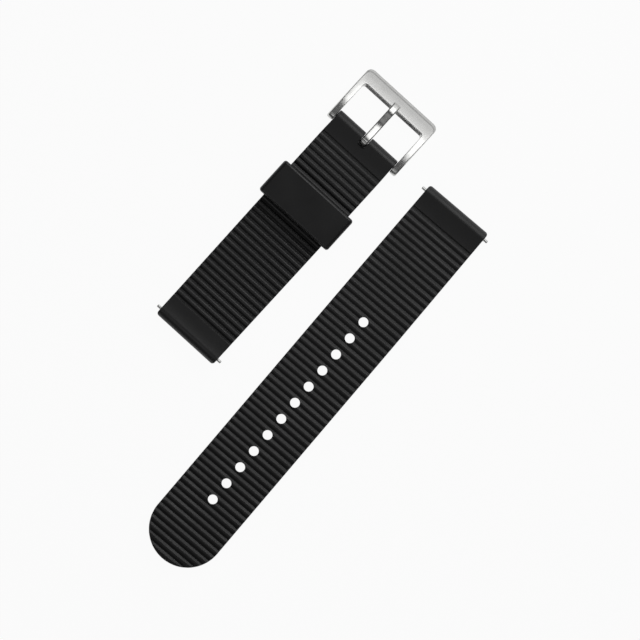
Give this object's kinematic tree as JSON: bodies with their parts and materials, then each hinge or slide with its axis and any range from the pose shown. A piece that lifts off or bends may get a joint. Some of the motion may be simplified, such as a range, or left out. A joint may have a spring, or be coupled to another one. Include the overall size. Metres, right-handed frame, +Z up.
{
  "type": "watch strap",
  "caption": "Two-piece ribbed rubber watch strap with a steel pin buckle, a sliding keeper, adjustment holes and sprung lug bars.",
  "frame": {"origin": "under the middle of the hole half's lug bar, on that half's underside", "axes": "+X along the buckle half towards its buckle, +Y across it, +Z up from the surface it lies on; the hole half lies turned by 1.95 degrees, with its tip towards -X"},
  "size_m": [0.1432, 0.061, 0.0095],
  "materials": {
    "strap_polyurethane": "moulded matte",
    "keeper_polyurethane": "moulded matte",
    "buckle_steel": "satin brushed",
    "tongue_steel": "satin brushed",
    "spring_bar_steel": "turned"
  },
  "bodies": {
    "buckle_half": {"buckle_strap": "strap_polyurethane"},
    "keeper": {"keeper": "keeper_polyurethane"},
    "frame": {"buckle_frame": "buckle_steel"},
    "tongue": {"buckle_tongue": "tongue_steel"},
    "buckle_bar": {"buckle_bar_tube": "spring_bar_steel", "buckle_bar_spring": "spring_bar_steel"},
    "buckle_bar_left": {"buckle_bar_tip_left": "spring_bar_steel"},
    "buckle_bar_right": {"buckle_bar_tip_right": "spring_bar_steel"},
    "buckle_lug_bar": {"buckle_lug_bar_tube": "spring_bar_steel", "buckle_lug_bar_spring": "spring_bar_steel"},
    "buckle_lug_bar_left": {"buckle_lug_bar_tip_left": "spring_bar_steel"},
    "buckle_lug_bar_right": {"buckle_lug_bar_tip_right": "spring_bar_steel"},
    "hole_half": {"hole_strap": "strap_polyurethane"},
    "hole_lug_bar": {"hole_lug_bar_tube": "spring_bar_steel", "hole_lug_bar_spring": "spring_bar_steel"},
    "hole_lug_bar_left": {"hole_lug_bar_tip_left": "spring_bar_steel"},
    "hole_lug_bar_right": {"hole_lug_bar_tip_right": "spring_bar_steel"}
  },
  "joints": [
    {"name": "keeper_slide", "type": "slide", "parent": "buckle_half", "child": "keeper", "axis": [1, 0, 0], "range_m": [-0.04, 0.014]},
    {"name": "frame_hinge", "type": "hinge", "parent": "buckle_half", "child": "frame", "pos_m": [-0.0017, 0.03295, 0.0036], "axis": [0, -1, 0], "range_deg": [-110, 30]},
    {"name": "tongue_hinge", "type": "hinge", "parent": "frame", "child": "tongue", "pos_m": [-0.0017, 0.03295, 0.0036], "axis": [0, -1, 0], "range_deg": [0, 70]},
    {"name": "buckle_bar_spin", "type": "hinge", "parent": "buckle_half", "child": "buckle_bar", "pos_m": [-0.0017, 0.03295, 0.0036], "axis": [0, 1, 0], "continuous": true},
    {"name": "buckle_bar_left_press", "type": "slide", "parent": "buckle_bar", "child": "buckle_bar_left", "axis": [0, -1, 0], "range_m": [0, 0.0011], "stiffness_N_per_m": 900, "springref_m": -0.001, "deforming": ["buckle_bar_spring"]},
    {"name": "buckle_bar_right_press", "type": "slide", "parent": "buckle_bar", "child": "buckle_bar_right", "axis": [0, 1, 0], "range_m": [0, 0.0011], "stiffness_N_per_m": 900, "springref_m": -0.001, "deforming": ["buckle_bar_spring"]},
    {"name": "buckle_lug_bar_spin", "type": "hinge", "parent": "buckle_half", "child": "buckle_lug_bar", "pos_m": [-0.0757, 0.03295, 0.0036], "axis": [0, 1, 0], "continuous": true},
    {"name": "buckle_lug_bar_left_press", "type": "slide", "parent": "buckle_lug_bar", "child": "buckle_lug_bar_left", "axis": [0, -1, 0], "range_m": [0, 0.0011], "stiffness_N_per_m": 900, "springref_m": -0.001, "deforming": ["buckle_lug_bar_spring"]},
    {"name": "buckle_lug_bar_right_press", "type": "slide", "parent": "buckle_lug_bar", "child": "buckle_lug_bar_right", "axis": [0, 1, 0], "range_m": [0, 0.0011], "stiffness_N_per_m": 900, "springref_m": -0.001, "deforming": ["buckle_lug_bar_spring"]},
    {"name": "hole_half_lift", "type": "slide", "parent": "buckle_half", "child": "hole_half", "axis": [0, 0, 1], "range_m": [0, 0.05]},
    {"name": "hole_lug_bar_spin", "type": "hinge", "parent": "hole_half", "child": "hole_lug_bar", "pos_m": [0, 0, 0.002], "axis": [-0.034, 0.9994, 0], "continuous": true},
    {"name": "hole_lug_bar_left_press", "type": "slide", "parent": "hole_lug_bar", "child": "hole_lug_bar_left", "axis": [0.034, -0.9994, 0], "range_m": [0, 0.0011], "stiffness_N_per_m": 900, "springref_m": -0.001, "deforming": ["hole_lug_bar_spring"]},
    {"name": "hole_lug_bar_right_press", "type": "slide", "parent": "hole_lug_bar", "child": "hole_lug_bar_right", "axis": [-0.034, 0.9994, 0], "range_m": [0, 0.0011], "stiffness_N_per_m": 900, "springref_m": -0.001, "deforming": ["hole_lug_bar_spring"]}
  ]
}
